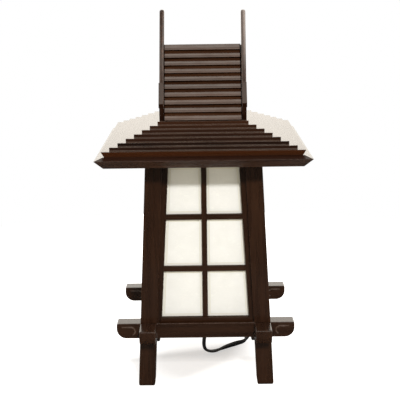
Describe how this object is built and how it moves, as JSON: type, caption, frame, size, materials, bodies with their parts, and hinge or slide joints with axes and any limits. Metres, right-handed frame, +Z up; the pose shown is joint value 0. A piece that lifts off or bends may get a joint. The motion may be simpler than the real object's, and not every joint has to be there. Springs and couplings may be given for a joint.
{
  "type": "andon lantern",
  "caption": "Japanese andon lantern: leaning dark timber posts on crossed bars, papered lattice sides, and a lift-off stepped roof with a slatted gable and horns.",
  "frame": {"origin": "on the floor under the lantern's axis, midway between the four feet", "axes": "+X to the lantern's right seen from the front, +Y towards the back, +Z up"},
  "size_m": [0.2282, 0.287, 0.4161],
  "materials": {
    "dark_wood": "dark stained and lacquered timber",
    "shoji_paper": "white translucent washi paper",
    "pale_wood": "plain plywood and batten",
    "porcelain": "moulded white thermoset",
    "brass": "bare brass",
    "steel": "zinc plated steel",
    "bulb_glass": "frosted white glass",
    "bulb_metal": "rolled aluminium",
    "cord_black": "black vinyl insulation",
    "switch_black": "black moulding"
  },
  "bodies": {
    "root": {"bar_front": "dark_wood", "bar_rear": "dark_wood", "bar_left": "dark_wood", "bar_right": "dark_wood", "post_dowels": "dark_wood", "post_front_left": "dark_wood", "foot_front_left": "dark_wood", "post_front_right": "dark_wood", "foot_front_right": "dark_wood", "post_rear_left": "dark_wood", "foot_rear_left": "dark_wood", "post_rear_right": "dark_wood", "foot_rear_right": "dark_wood", "front_stiles": "dark_wood", "front_rails": "dark_wood", "front_muntins": "dark_wood", "front_paper": "shoji_paper", "right_stiles": "dark_wood", "right_rails": "dark_wood", "right_muntins": "dark_wood", "right_paper": "shoji_paper", "rear_stiles": "dark_wood", "rear_rails": "dark_wood", "rear_muntins": "dark_wood", "rear_paper": "shoji_paper", "left_stiles": "dark_wood", "left_rails": "dark_wood", "left_muntins": "dark_wood", "left_paper": "shoji_paper", "battens": "pale_wood", "base_board": "pale_wood", "holder_flange": "porcelain", "holder_cup": "porcelain", "screw_shell": "brass", "wood_screws": "steel", "cord_relief": "cord_black", "cord": "cord_black", "cord_coil": "cord_black", "switch_base": "switch_black", "switch_cover": "switch_black", "plug_body": "cord_black", "plug_pins": "brass"},
    "roof": {"fascia_boards": "dark_wood", "soffit_boards": "dark_wood", "roof_cleats": "pale_wood", "front_slats": "dark_wood", "rear_slats": "dark_wood", "front_bargeboards": "dark_wood", "rear_bargeboards": "dark_wood", "eave_blocks": "dark_wood", "gable_ends": "dark_wood", "ridge_batten": "pale_wood", "skirt_front": "dark_wood", "skirt_right": "dark_wood", "skirt_rear": "dark_wood", "skirt_left": "dark_wood"},
    "bulb": {"bulb_cap": "bulb_metal", "bulb_glass": "bulb_glass"},
    "rocker": {"switch_rocker": "switch_black"}
  },
  "joints": [
    {"name": "roof_lift", "type": "slide", "parent": "root", "child": "roof", "axis": [0, 0, 1], "range_m": [0, 0.12]},
    {"name": "bulb_turn", "type": "hinge", "parent": "root", "child": "bulb", "pos_m": [0, 0, 0.1], "axis": [0, 0, 1], "range_deg": [0, 720]},
    {"name": "switch_rock", "type": "hinge", "parent": "root", "child": "rocker", "pos_m": [0.05, 0.114, 0.0138], "axis": [1, 0, 0], "range_deg": [0, 16]}
  ]
}
